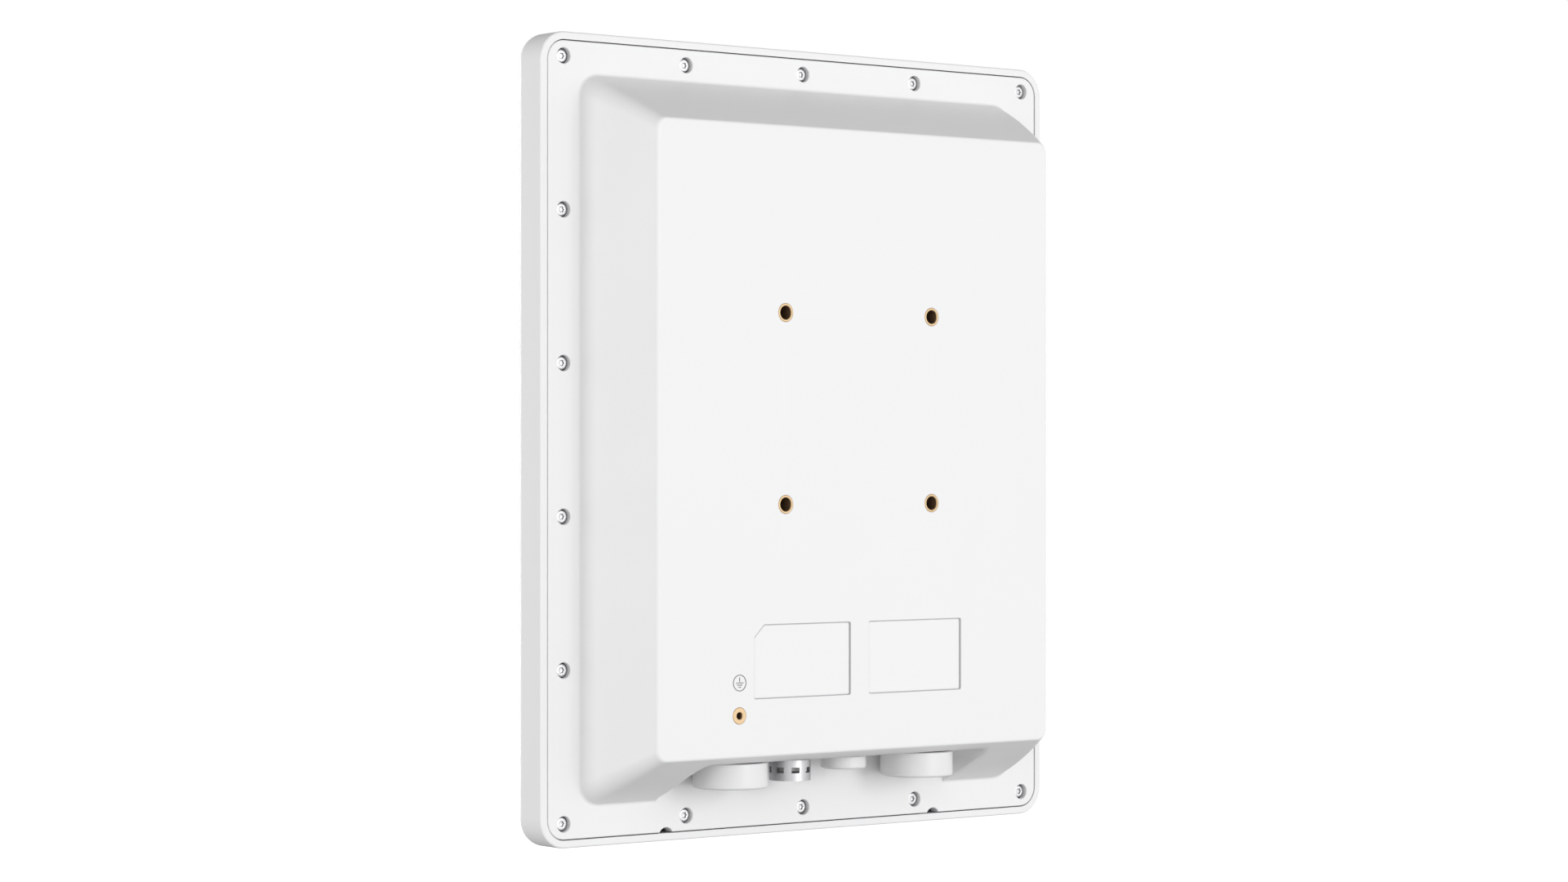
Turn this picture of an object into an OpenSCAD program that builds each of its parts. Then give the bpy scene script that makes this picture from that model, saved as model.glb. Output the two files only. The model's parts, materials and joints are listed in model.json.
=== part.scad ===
// Flat panel reader for a retail security gate. A front radome and a rear housing are screwed together
// round their edge. The antenna lies behind the radome, the reader board in the raised back, and the
// cable ports hang from the ceiling of a bay in the bottom slope.
// The origin is the centre of the four mounting inserts, on the back face. +Y points out of the back and
// +Z up. All lengths are in millimetres.

/* [Panel] */
// Overall width
panel_w = 344; // [342:1:347]
// Overall height
panel_h = 420; // [418:1:423]
// Corner radius of the outline
panel_r = 15; // [13:1:18]
// Depth of the radome's side wall
radome_depth = 22; // [20:0.5:24]
// Rounding of the radome's front edge
front_edge_r = 5; // [2:0.5:6]
// Thickness of the shells
wall = 3; // [2.5:0.5:3.5]
// Width of the radome's rim round the rear housing
rim_w = 4; // [3:0.5:4.5]
// Gap between the rim and the rear housing
rim_gap = 0.8; // [0.4:0.1:1.2]

/* [Rear housing] */
// Thickness of the flange
flange_t = 6; // [5:0.5:6]
// Height of the raised back above the flange
body_d = 48; // [48:1:52]
// Width of the raised back at the flange
body_w = 296; // [294:1:298]
// Height of the raised back at the flange
body_h = 377; // [376:1:379]
// Corner radius of the raised back at the flange
base_r = 12; // [8:1:16]
// Width of the flat back face
face_w = 266; // [264:1:270]
// Height of the flat back face
face_h = 328; // [327:1:330]
// Corner radius of the flat back face
face_r = 6; // [5:0.5:8]
// Rounding of the back face's edge
face_edge_r = 2; // [1:0.5:2.5]

/* [Mounting inserts] */
// Distance between the mounting inserts, both ways
insert_pitch = 100; // [90:5:110]
// Height of the insert pattern's centre above the panel's centre
insert_rise = 16.5; // [10:0.5:20]
// Outer diameter of a mounting insert
insert_d = 9.8; // [9.4:0.2:11]
// Tap bore of a mounting insert
insert_bore_d = 6.8; // [6:0.1:7]
// Length of a mounting insert
insert_len = 12; // [8:1:14]
// Outer diameter of the ground insert
ground_d = 8.8; // [7:0.2:9]
// Tap bore of the ground insert
ground_bore_d = 3.3; // [2.5:0.1:4.2]

/* [Cover screws] */
// Number of screws along the top and bottom
screw_cols = 5; // [3:1:6]
// Number of screws along the sides
screw_rows = 6; // [3:1:7]
// Distance between the outer screw columns
screw_span_x = 315; // [314:0.5:316]
// Distance between the outer screw rows
screw_span_z = 395; // [394:0.5:396]
// Diameter of the countersunk pocket for a head
pocket_d = 8.2; // [8:0.1:9]
// Diameter of a screw head
head_d = 7; // [6:0.1:7.4]

/* [Connector bay] */
// Width of the bay
bay_w = 198; // [194:1:200]
// Distance of the bay's ceiling below the panel's centre
bay_drop = 168; // [167.5:0.5:168.5]
// Corner radius of the bay's ceiling
bay_r = 7; // [4:1:9]
// Position of the network port along X
network_x = 65.5; // [63:0.5:68]
// Position of the pressure vent along X
vent_x = 25.5; // [24:0.5:27]
// Position of the service port along X
service_x = -11; // [-14:0.5:-9]
// Position of the signal port along X
signal_x = -62.5; // [-66:0.5:-60]

/* [Ports] */
// Diameter of the network and signal caps
main_cap_d = 39.5; // [38:0.5:40]
// Height of the network and signal caps
main_cap_h = 13.5; // [13.5:0.5:15]
// Diameter of the service cap
service_cap_d = 24.5; // [23:0.5:26]
// Height of the service cap
service_cap_h = 7; // [7:0.5:9]
// Diameter of the vent's cap
vent_cap_d = 22; // [21.5:0.5:23]
// Height of the vent's cap
vent_cap_h = 11; // [11:0.5:13]
// Number of windows round the vent's cap
vent_windows = 8; // [6:1:10]

/* [Labels] */
// Width of a label
label_w = 64; // [50:1:66]
// Height of a label
label_h = 38; // [30:1:40]
// Chamfer at one corner of the label by the ground insert
label_chamfer = 6.5; // [3:0.5:8]

/* [Antenna and boards] */
// Side of a square patch radiator
patch_side = 150; // [130:5:160]
// Distance of a patch's centre from the panel's centre
patch_z = 88; // [84:1:92]
// Width of the reader board
board_w = 220; // [210:2:222]
// Height of the reader board
board_h = 205; // [200:1:208]

/* [Hidden] */
$fn = 48;

// Clearance between pieces that are assembled but not pressed together
gap = 0.1;
// Extra length of a cutting shape beyond the face that it cuts
over = 1;
// Thickness of one outline in a stack that hull() joins
slice = 0.01;

// Planes along Y
back_y = 0;
flange_y = back_y - body_d;
flange_low_y = flange_y - flange_t;
front_y = flange_y - radome_depth;
tray_floor_y = front_y + wall;

// Outline of the rear housing inside the rim
cover_w = panel_w - 2 * (rim_w + rim_gap);
cover_h = panel_h - 2 * (rim_w + rim_gap);
cover_r = panel_r - rim_w - rim_gap;

// Seal wall in the radome, measured inwards from the outline
seal_wall_in = 17;
seal_wall_t = 5;
gasket_w = 3;
gasket_t = 1.6;

// Cover screws: those on the rectangle's edge only
pocket_depth = 4.4;
head_h = 2.4;
socket_d = 2.9;
shank_d = 4;
shank_len = 11;
boss_d = 9.4;
boss_bore_d = 4.1;
screw_step_x = screw_span_x / (screw_cols - 1);
screw_step_z = screw_span_z / (screw_rows - 1);
screw_points = [
    for (i = [0:screw_cols - 1], j = [0:screw_rows - 1])
        if (i == 0 || i == screw_cols - 1 || j == 0 || j == screw_rows - 1)
            [i * screw_step_x - screw_span_x / 2, j * screw_step_z - screw_span_z / 2]
];

// Mounting inserts and ground insert, from the panel's centre
insert_points = [
    for (x = [-1, 1], z = [-1, 1]) [x * insert_pitch / 2, insert_rise + z * insert_pitch / 2]
];
ground_point = [80.5, -142.5];
ground_len = 9;
earth_mark_z = -125.5;
earth_mark_d = 8.8;
earth_line = 0.6;
earth_depth = 0.4;
insert_boss_d = 15;
ground_boss_d = 13;
boss_floor = 2;

// Drain notches in the flange's bottom edge
drain_x = 92;
drain_r = 4.6;
drain_below = 2.3;

// Labels
label_x = 38.5;
label_z = -115;
label_r = 1;
label_recess = 1.2;
label_t = 0.3;
label_gap = 0.3;

// Reader board and what it carries
board_t = 1.6;
port_y = flange_y + 20.5;
jack_half = 6.4;
board_back_y = port_y - jack_half;
board_front_y = board_back_y - board_t;
board_z = -52.5;
board_screw_x = 102;
board_screw_z = [-145, -52.5, 40];
board_post_d = 8;
board_bore_d = 3.1;
board_head_d = 5.5;
shield_h = 5;
pad_t = 1;
heat_boss = [70, 60];
heat_boss_z = -75;

// Reflector, patches and feed
reflector_t = 1.5;
reflector_back_y = flange_low_y + 2;
reflector_front_y = reflector_back_y - reflector_t;
reflector_w = 280;
reflector_h = 360;
reflector_post_d = 9;
reflector_screw_x = 122;
reflector_screw_z = [-146, 0, 146];
patch_t = 1;
patch_back_y = tray_floor_y + 3;
patch_cut = 24;
standoff_d = 8;
standoff_spread = 50;
feed_x = 22;
feed_pin_d = 1.6;
feed_hole_d = 5;
feed_board_t = 1.6;
feed_board_w = 70;
feed_board_back_y = reflector_back_y + feed_board_t;
reflector_head_d = 6;
reflector_head_h = 2;

// Coaxial jumper between the two boards: its route in Y and Z, from the top down
coax_d = 3;
coax_plug = 6;
coax_x = 25;
coax_top_z = 20;
coax_drop = 60;
coax_feed_y = feed_board_back_y + coax_plug / 2;
coax_board_y = board_front_y - coax_plug / 2;
coax_rings = 16;
coax_route = [
    for (i = [0:coax_rings])
        let (t = i / coax_rings)
        [coax_feed_y + (coax_board_y - coax_feed_y) * t * t * (3 - 2 * t), coax_top_z - coax_drop * t]
];

// Ports: threaded parts are plain cylinders at their outer diameter
main_pitch = 2;
ceiling_z = -bay_drop;
ceiling_top_z = ceiling_z + wall;
seal_t = 1;
cap_wall = 2.5;
cap_floor = 2;
cap_gap = 0.5;
thread_gap = 0.35;
main_barrel_d = main_cap_d - 2 * (cap_wall + thread_gap);
main_barrel_len = 9;
main_neck_d = 26;
main_bore_d = 22;
main_nut_d = 32;
main_nut_h = 4;
main_jack_w = 16;
main_jack_len = 22;
service_barrel_d = service_cap_d - 2 * (cap_wall + thread_gap);
service_barrel_len = 3;
service_neck_d = 14;
service_bore_d = 10;
service_nut_d = 20;
service_nut_h = 3;
washer_lift = 0.3;
port_hole_gap = 0.4;

// Pressure vent
vent_neck_d = 12;
vent_bore_d = 7;
vent_flange_d = 17;
vent_flange_t = 2;
vent_stub_d = 13;
vent_stub_len = 4;
vent_nut_d = 17;
vent_nut_h = 3;
vent_wall = 1.8;
vent_window_h = 3;
vent_window_w = 4.4;
vent_window_up = 4.2;
membrane_t = 0.4;

// Moves from the panel's centre to the frame's origin
module at_panel() {
    translate([0, 0, -insert_rise]) children();
}

// ---- shared shapes ----

module rounded_rect(w, h, r) {
    square([w - 2 * r, h], center = true);
    square([w, h - 2 * r], center = true);
    for (x = [-1, 1], z = [-1, 1])
        translate([x * (w / 2 - r), z * (h / 2 - r)]) circle(r);
}

// Rounded plate in the XZ plane that fills y_low to y_high
module plate(w, h, r, y_low, y_high) {
    translate([0, y_high, 0]) rotate([90, 0, 0]) linear_extrude(y_high - y_low) rounded_rect(w, h, r);
}

// Plain block from its middle in X and Z, and its two planes along Y
module block(x, z, w, h, y_low, y_high) {
    translate([x - w / 2, y_low, z - h / 2]) cube([w, y_high - y_low, h]);
}

// Cylinder along Y that fills y_low to y_high
module rod_y(x, z, d, y_low, y_high) {
    translate([x, y_high, z]) rotate([90, 0, 0]) cylinder(h = y_high - y_low, d = d);
}

// Cylinder on a port's axis that fills z_low to z_high
module rod_z(x, d, z_low, z_high) {
    translate([x, port_y, z_low]) cylinder(h = z_high - z_low, d = d);
}

// Ring on a port's axis
module ring_z(x, d_out, d_in, z_low, z_high) {
    difference() {
        rod_z(x, d_out, z_low, z_high);
        rod_z(x, d_in, z_low - over, z_high + over);
    }
}

// Raised back, each side moved inwards by inset, from y_low to y_high
module raised_form(inset, y_low, y_high) {
    hull() {
        plate(body_w - 2 * inset, body_h - 2 * inset, base_r - inset, y_low, flange_y - slice);
        for (a = [0:22.5:90]) {
            side_in = inset + face_edge_r * (1 - cos(a));
            plate(face_w - 2 * side_in, face_h - 2 * side_in, face_r - side_in,
                y_high - face_edge_r * (1 - sin(a)) - slice, y_high - face_edge_r * (1 - sin(a)));
        }
    }
}

// Bay below the ports, grown by its wall where grow is above zero
module bay(grow) {
    tall = 80;
    translate([0, 0, ceiling_z + grow - tall / 2])
        plate(bay_w + 2 * grow, tall, bay_r + grow, flange_y - grow, back_y + over);
}

// Outline of a label, with a chamfer at its upper corner towards +X if cut is above zero
module label_outline(w, h, cut) {
    difference() {
        rounded_rect(w, h, label_r);
        if (cut > 0)
            translate([w / 2, h / 2]) rotate(45) square([cut * sqrt(2), cut * sqrt(2)], center = true);
    }
}

module label_solid(x, shrink, cut, y_low, y_high) {
    translate([x, y_high, label_z]) rotate([90, 0, 0]) linear_extrude(y_high - y_low)
        label_outline(label_w - 2 * shrink, label_h - 2 * shrink, cut);
}

// Protective earth mark: a ring round a stem and three bars
module earth_mark() {
    translate([ground_point[0], 0, earth_mark_z]) {
        difference() {
            rod_y(0, 0, earth_mark_d, back_y - earth_depth, back_y + over);
            rod_y(0, 0, earth_mark_d - 2 * earth_line, back_y - over, back_y + 2 * over);
        }
        block(0, 1.55, earth_line, 2.7, back_y - earth_depth, back_y + over);
        for (bar = [0:2])
            block(0, -bar * 1.1, 4.8 - 1.6 * bar, earth_line, back_y - earth_depth, back_y + over);
    }
}

// ---- shells ----

// Section of the radome's edge, from a corner's axis outwards: rounded in front and a little at the rim
module radome_edge() {
    rim_r = 1;
    depth = flange_y - front_y;
    difference() {
        square([panel_r, depth]);
        difference() {
            translate([panel_r - front_edge_r, -over]) square([front_edge_r + over, front_edge_r + over]);
            translate([panel_r - front_edge_r, front_edge_r]) circle(front_edge_r);
        }
        difference() {
            translate([panel_r - rim_r, depth - rim_r]) square([2 * rim_r, 2 * rim_r]);
            translate([panel_r - rim_r, depth - rim_r]) circle(rim_r);
        }
    }
}

// Outer form of the radome: its edge's section swept round four corners and along four sides
module radome_form() {
    side_x = panel_w - 2 * panel_r;
    side_z = panel_h - 2 * panel_r;
    block(0, 0, side_x, side_z, front_y, flange_y);
    translate([0, front_y, 0]) rotate([-90, 0, 0])
        for (turn = [0:3]) {
            long = turn % 2 == 0 ? side_z : side_x;
            wide = turn % 2 == 0 ? side_x : side_z;
            rotate([0, 0, 90 * turn]) {
                translate([wide / 2, long / 2, 0]) rotate([90, 0, 0]) linear_extrude(long) radome_edge();
                translate([wide / 2, long / 2, 0]) rotate_extrude(angle = 90) radome_edge();
            }
        }
}

// Ring in the XZ plane, its outer edge outer_in inside the outline and its inner edge inner_in inside it
module outline_ring(outer_in, inner_in, y_low, y_high) {
    difference() {
        plate(panel_w - 2 * outer_in, panel_h - 2 * outer_in, 9, y_low, y_high);
        plate(panel_w - 2 * inner_in, panel_h - 2 * inner_in, 9 - (inner_in - outer_in), y_low - over, y_high + over);
    }
}

module front_radome() {
    color("whitesmoke") at_panel() difference() {
        union() {
            difference() {
                radome_form();
                plate(panel_w - 2 * rim_w, panel_h - 2 * rim_w, panel_r - rim_w, tray_floor_y, back_y);
            }
            outline_ring(seal_wall_in, seal_wall_in + seal_wall_t, tray_floor_y - over, flange_low_y);
            for (p = screw_points) {
                rod_y(p[0], p[1], boss_d, tray_floor_y - over, flange_low_y);
                radome_rib(p);
            }
        }
        outline_ring(seal_wall_in + 0.9, seal_wall_in + seal_wall_t - 0.9, flange_low_y - gasket_t, back_y);
        for (p = screw_points)
            rod_y(p[0], p[1], boss_bore_d, flange_low_y - 10, flange_low_y + over);
    }
}

// Rib from a screw boss to the nearest side wall
module radome_rib(p) {
    rib_t = 2;
    reach_x = panel_w / 2 - rim_w + 1 - abs(p[0]);
    reach_z = panel_h / 2 - rim_w + 1 - abs(p[1]);
    rib_top = flange_low_y - 1;
    if (abs(p[0]) > screw_span_x / 2 - 1)
        block(p[0] + sign(p[0]) * reach_x / 2, p[1], reach_x, rib_t, tray_floor_y - over, rib_top);
    if (abs(p[1]) > screw_span_z / 2 - 1)
        block(p[0], p[1] + sign(p[1]) * reach_z / 2, rib_t, reach_z, tray_floor_y - over, rib_top);
}

module rear_housing() {
    color("white") at_panel() difference() {
        union() {
            difference() {
                union() {
                    plate(cover_w, cover_h, cover_r, flange_low_y, flange_y);
                    raised_form(0, flange_y - over, back_y);
                }
                difference() {
                    raised_form(wall, flange_low_y - over, back_y - wall);
                    bay(wall);
                }
            }
            housing_posts();
        }
        bay(0);
        for (p = screw_points) {
            rod_y(p[0], p[1], pocket_d, flange_y - pocket_depth, flange_y + over);
            rod_y(p[0], p[1], shank_d + 0.6, flange_low_y - over, flange_y);
        }
        for (p = insert_points)
            rod_y(p[0], p[1], insert_d, back_y - insert_len, back_y + over);
        rod_y(ground_point[0], ground_point[1], ground_d, back_y - ground_len, back_y + over);
        label_solid(label_x, 0, label_chamfer, back_y - label_recess, back_y + over);
        label_solid(-label_x, 0, 0, back_y - label_recess, back_y + over);
        earth_mark();
        for (x = [-1, 1])
            rod_y(x * drain_x, -cover_h / 2 - drain_below, 2 * drain_r, flange_low_y - over, flange_y + over);
        for (x = [network_x, signal_x])
            rod_z(x, main_neck_d + port_hole_gap, ceiling_z - over, ceiling_top_z + over);
        rod_z(service_x, service_neck_d + port_hole_gap, ceiling_z - over, ceiling_top_z + over);
        rod_z(vent_x, vent_neck_d + port_hole_gap, ceiling_z - over, ceiling_top_z + over);
    }
}

// Bosses and posts that stand on the inside of the back face
module housing_posts() {
    root_y = back_y - wall + 0.5;
    for (p = insert_points)
        rod_y(p[0], p[1], insert_boss_d, back_y - insert_len - boss_floor, root_y);
    rod_y(ground_point[0], ground_point[1], ground_boss_d, back_y - ground_len - boss_floor, root_y);
    block(0, heat_boss_z, heat_boss[0], heat_boss[1], board_back_y + shield_h + pad_t, root_y);
    for (x = [-1, 1]) {
        for (z = board_screw_z)
            difference() {
                rod_y(x * board_screw_x, z, board_post_d, board_back_y, root_y);
                rod_y(x * board_screw_x, z, board_bore_d, board_back_y - over, board_back_y + 10);
            }
        for (z = reflector_screw_z)
            difference() {
                rod_y(x * reflector_screw_x, z, reflector_post_d, reflector_back_y, root_y);
                rod_y(x * reflector_screw_x, z, board_bore_d, reflector_back_y - over, reflector_back_y + 10);
            }
    }
}

module perimeter_gasket() {
    color("dimgray") at_panel()
        outline_ring(seal_wall_in + 1, seal_wall_in + 1 + gasket_w, flange_low_y - gasket_t, flange_low_y);
}

// Socket-headed screw along Y, its head above head_y and its shank below
module screw_y(x, z, d_head, h_head, d_shank, len, head_y) {
    difference() {
        rod_y(x, z, d_head, head_y, head_y + h_head);
        translate([x, head_y + h_head + over, z]) rotate([90, 0, 0])
            cylinder(h = over + h_head * 0.6, d = d_head * socket_d / head_d, $fn = 6);
    }
    rod_y(x, z, d_shank, head_y - len, head_y);
}

module cover_screws() {
    color("silver") at_panel()
        for (p = screw_points)
            screw_y(p[0], p[1], head_d, head_h, shank_d, shank_len, flange_y - pocket_depth);
}

module mount_inserts() {
    color("goldenrod") at_panel()
        for (p = insert_points)
            difference() {
                rod_y(p[0], p[1], insert_d, back_y - insert_len, back_y);
                rod_y(p[0], p[1], insert_bore_d, back_y - insert_len + 1, back_y + over);
            }
}

module ground_insert() {
    color("goldenrod") at_panel() difference() {
        rod_y(ground_point[0], ground_point[1], ground_d, back_y - ground_len, back_y);
        rod_y(ground_point[0], ground_point[1], ground_bore_d, back_y - ground_len + 1, back_y + over);
    }
}

module left_label() {
    color("white") at_panel()
        label_solid(label_x, label_gap, label_chamfer, back_y - label_recess, back_y - label_recess + label_t);
}

module right_label() {
    color("white") at_panel()
        label_solid(-label_x, label_gap, 0, back_y - label_recess, back_y - label_recess + label_t);
}

// ---- antenna ----

module reflector_plate() {
    color("lightgray") at_panel() difference() {
        plate(reflector_w, reflector_h, 8, reflector_front_y, reflector_back_y);
        for (x = [-1, 1], z = reflector_screw_z)
            rod_y(x * reflector_screw_x, z, 3.6, reflector_front_y - over, reflector_back_y + over);
        for (x = [-1, 1], z = [-1, 1])
            rod_y(x * feed_x, z * patch_z, feed_hole_d, reflector_front_y - over, reflector_back_y + over);
    }
}

module reflector_screws() {
    color("silver") at_panel()
        for (x = [-1, 1], z = reflector_screw_z)
            translate([0, 2 * reflector_front_y, 0]) mirror([0, 1, 0])
                screw_y(x * reflector_screw_x, z, reflector_head_d, reflector_head_h, 3, 9, reflector_front_y);
}

// Square patch with two opposite corners cut, which makes its wave circular
module patch(z) {
    color("sandybrown") at_panel() difference() {
        block(0, z, patch_side, patch_side, patch_back_y - patch_t, patch_back_y);
        for (s = [-1, 1])
            translate([s * patch_side / 2, patch_back_y, z + s * patch_side / 2]) rotate([0, 45, 0])
                cube([patch_cut, 4, patch_cut], center = true);
        for (x = [-1, 1])
            rod_y(x * feed_x, z, feed_pin_d + gap, patch_back_y - patch_t - over, patch_back_y + over);
    }
}

module upper_patch() {
    patch(patch_z);
}

module lower_patch() {
    patch(-patch_z);
}

module patch_standoffs() {
    color("ivory") at_panel()
        for (s = [-1, 1], x = [-1, 1], z = [-1, 1])
            rod_y(x * standoff_spread, s * patch_z + z * standoff_spread, standoff_d, patch_back_y, reflector_front_y);
}

module feed_pins() {
    color("gold") at_panel()
        for (x = [-1, 1], z = [-1, 1])
            rod_y(x * feed_x, z * patch_z, feed_pin_d, patch_back_y - patch_t, reflector_back_y);
}

module feed_board() {
    color("darkgreen") at_panel()
        block(0, 0, feed_board_w, 2 * patch_z + 20, reflector_back_y, feed_board_back_y);
}

// ---- reader ----

module reader_board() {
    color("green") at_panel() difference() {
        block(0, board_z, board_w, board_h, board_front_y, board_back_y);
        for (x = [-1, 1], z = board_screw_z)
            rod_y(x * board_screw_x, z, 3.6, board_front_y - over, board_back_y + over);
    }
}

module board_screws() {
    color("silver") at_panel()
        for (x = [-1, 1], z = board_screw_z)
            translate([0, 2 * board_front_y, 0]) mirror([0, 1, 0])
                screw_y(x * board_screw_x, z, board_head_d, 2, 3, 9, board_front_y);
}

// Sheet metal can, open towards the board
module shield(x, z, w, h) {
    sheet = 0.4;
    difference() {
        block(x, z, w, h, board_back_y, board_back_y + shield_h);
        block(x, z, w - 2 * sheet, h - 2 * sheet, board_back_y - over, board_back_y + shield_h - sheet);
    }
}

module rf_shield() {
    color("gainsboro") at_panel() shield(0, heat_boss_z, heat_boss[0] - 4, heat_boss[1] - 4);
}

module processor_shield() {
    color("gainsboro") at_panel() shield(0, -10, 50, 40);
}

module thermal_pad() {
    color("steelblue") at_panel()
        block(0, heat_boss_z, heat_boss[0] - 10, heat_boss[1] - 10, board_back_y + shield_h,
            board_back_y + shield_h + pad_t);
}

// Inductors and capacitors beside the jacks
module power_parts() {
    color("black") at_panel() {
        for (x = [60, 78])
            block(x, -95, 12, 12, board_back_y, board_back_y + 7);
        for (x = [-50, -62, -74])
            rod_y(x, -95, 8, board_back_y, board_back_y + 11);
    }
}

// Lead that leaves the feed board downwards and crosses to the reader board in a smooth S
module coax_jumper() {
    sides = 10;
    last = len(coax_route) - 1;
    rings = [
        for (i = [0:last])
            let (
                before = coax_route[max(i - 1, 0)],
                after = coax_route[min(i + 1, last)],
                lean = i == 0 || i == last ? 0 : atan2(after[0] - before[0], before[1] - after[1])
            )
            for (k = [0:sides - 1])
                let (across = coax_d / 2 * sin(360 * k / sides))
                [
                    coax_x + coax_d / 2 * cos(360 * k / sides),
                    coax_route[i][0] + across * cos(lean),
                    coax_route[i][1] + across * sin(lean)
                ]
    ];
    walls = [
        for (i = [0:last - 1], k = [0:sides - 1])
            let (a = i * sides + k, b = i * sides + (k + 1) % sides)
            each [[a, b, b + sides], [a, b + sides, a + sides]]
    ];
    top = [for (k = [0:sides - 1]) sides - 1 - k];
    bottom = [for (k = [0:sides - 1]) last * sides + k];
    color("saddlebrown") at_panel() polyhedron(rings, concat(walls, [top, bottom]));
}

// Right-angle plugs at the two ends of the jumper
module coax_plugs() {
    low_z = coax_top_z - coax_drop - coax_plug / 2;
    color("gold") at_panel() {
        block(coax_x, coax_top_z + coax_plug / 2, coax_plug, coax_plug, feed_board_back_y, feed_board_back_y + coax_plug);
        block(coax_x, low_z, coax_plug, coax_plug, board_front_y - coax_plug, board_front_y);
    }
}

// Shielded jack on the lower edge of the board, open downwards
module main_jack(x) {
    color("lightgray") at_panel() difference() {
        block(x, ceiling_top_z + 1.5 + main_jack_len / 2, main_jack_w, main_jack_len, board_back_y,
            port_y + jack_half);
        block(x, ceiling_top_z + main_jack_len / 2 - 3, 12, main_jack_len, board_back_y + 3, port_y + jack_half - 2);
    }
}

module network_jack() {
    main_jack(network_x);
}

module signal_jack() {
    main_jack(signal_x);
}

module service_jack() {
    color("lightgray") at_panel() difference() {
        block(service_x, ceiling_top_z + 12, 9, 14, board_back_y, port_y + 4);
        rod_z(service_x, 5, ceiling_top_z, ceiling_top_z + 14);
    }
}

// ---- ports ----

// Port barrel below the ceiling, with a neck through it
module port_body(x, barrel_d, barrel_len, neck_d, neck_up, bore_d) {
    color("white") at_panel() difference() {
        union() {
            rod_z(x, barrel_d, ceiling_z - seal_t - barrel_len, ceiling_z - seal_t);
            rod_z(x, neck_d, ceiling_z - seal_t - over, ceiling_top_z + neck_up);
        }
        rod_z(x, bore_d, ceiling_z - seal_t - barrel_len - over, ceiling_top_z + neck_up + over);
    }
}

module port_seal(x, d_out, neck_d) {
    color("dimgray") at_panel() ring_z(x, d_out, neck_d + gap, ceiling_z - seal_t, ceiling_z);
}

module port_locknut(x, nut_d, neck_d, nut_h) {
    color("silver") at_panel() difference() {
        translate([x, port_y, ceiling_top_z]) cylinder(h = nut_h, d = nut_d, $fn = 12);
        rod_z(x, neck_d + gap, ceiling_top_z - over, ceiling_top_z + nut_h + over);
    }
}

// Rubber washer that lies on the floor of a cap
module cap_washer(x, cap_d, cap_h, t) {
    floor_z = ceiling_z - cap_gap - cap_h + cap_floor + washer_lift;
    color("dimgray") at_panel()
        ring_z(x, cap_d - 2 * cap_wall - 1.4, cap_d - 2 * cap_wall - 8, floor_z, floor_z + t);
}

// Cap that screws over a port's barrel: a smooth cup with a coin slot in its lower face
module port_cap(x, cap_d, cap_h) {
    low_z = ceiling_z - cap_gap - cap_h;
    edge = 1.2;
    color("white") at_panel() difference() {
        translate([x, port_y, low_z]) rotate_extrude() union() {
            translate([0, edge]) square([cap_d / 2, cap_h - edge]);
            square([cap_d / 2 - edge, edge + slice]);
            translate([cap_d / 2 - edge, edge]) circle(edge);
        }
        rod_z(x, cap_d - 2 * cap_wall, low_z + cap_floor, low_z + cap_h + over);
        translate([x, port_y, low_z]) cube([cap_d * 0.6, 2, 2.4], center = true);
    }
}

module network_port() {
    port_body(network_x, main_barrel_d, main_barrel_len, main_neck_d, main_nut_h + 1, main_bore_d);
}

module network_seal() {
    port_seal(network_x, main_barrel_d, main_neck_d);
}

module network_locknut() {
    port_locknut(network_x, main_nut_d, main_neck_d, main_nut_h);
}

module network_washer() {
    cap_washer(network_x, main_cap_d, main_cap_h, 1.2);
}

module network_cap() {
    port_cap(network_x, main_cap_d, main_cap_h);
}

module signal_port() {
    port_body(signal_x, main_barrel_d, main_barrel_len, main_neck_d, main_nut_h + 1, main_bore_d);
}

module signal_seal() {
    port_seal(signal_x, main_barrel_d, main_neck_d);
}

module signal_locknut() {
    port_locknut(signal_x, main_nut_d, main_neck_d, main_nut_h);
}

module signal_washer() {
    cap_washer(signal_x, main_cap_d, main_cap_h, 1.2);
}

module signal_cap() {
    port_cap(signal_x, main_cap_d, main_cap_h);
}

module service_port() {
    port_body(service_x, service_barrel_d, service_barrel_len, service_neck_d, service_nut_h + 1, service_bore_d);
}

module service_seal() {
    port_seal(service_x, service_barrel_d, service_neck_d);
}

module service_locknut() {
    port_locknut(service_x, service_nut_d, service_neck_d, service_nut_h);
}

module service_washer() {
    cap_washer(service_x, service_cap_d, service_cap_h, 0.6);
}

module service_cap() {
    port_cap(service_x, service_cap_d, service_cap_h);
}

// ---- pressure vent ----

module vent_body() {
    flange_low = ceiling_z - seal_t - vent_flange_t;
    color("white") at_panel() difference() {
        union() {
            rod_z(vent_x, vent_neck_d, flange_low, ceiling_top_z + vent_nut_h + 1);
            rod_z(vent_x, vent_flange_d, flange_low, ceiling_z - seal_t);
            rod_z(vent_x, vent_stub_d, flange_low - vent_stub_len, flange_low + over);
        }
        rod_z(vent_x, vent_bore_d, flange_low - vent_stub_len - over, ceiling_top_z + vent_nut_h + 2);
    }
}

module vent_seal() {
    port_seal(vent_x, vent_flange_d, vent_neck_d);
}

module vent_locknut() {
    port_locknut(vent_x, vent_nut_d, vent_neck_d, vent_nut_h);
}

module vent_membrane() {
    low_z = ceiling_z - seal_t - vent_flange_t - vent_stub_len - membrane_t;
    color("ivory") at_panel() rod_z(vent_x, vent_stub_d - 2, low_z, low_z + membrane_t);
}

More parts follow.
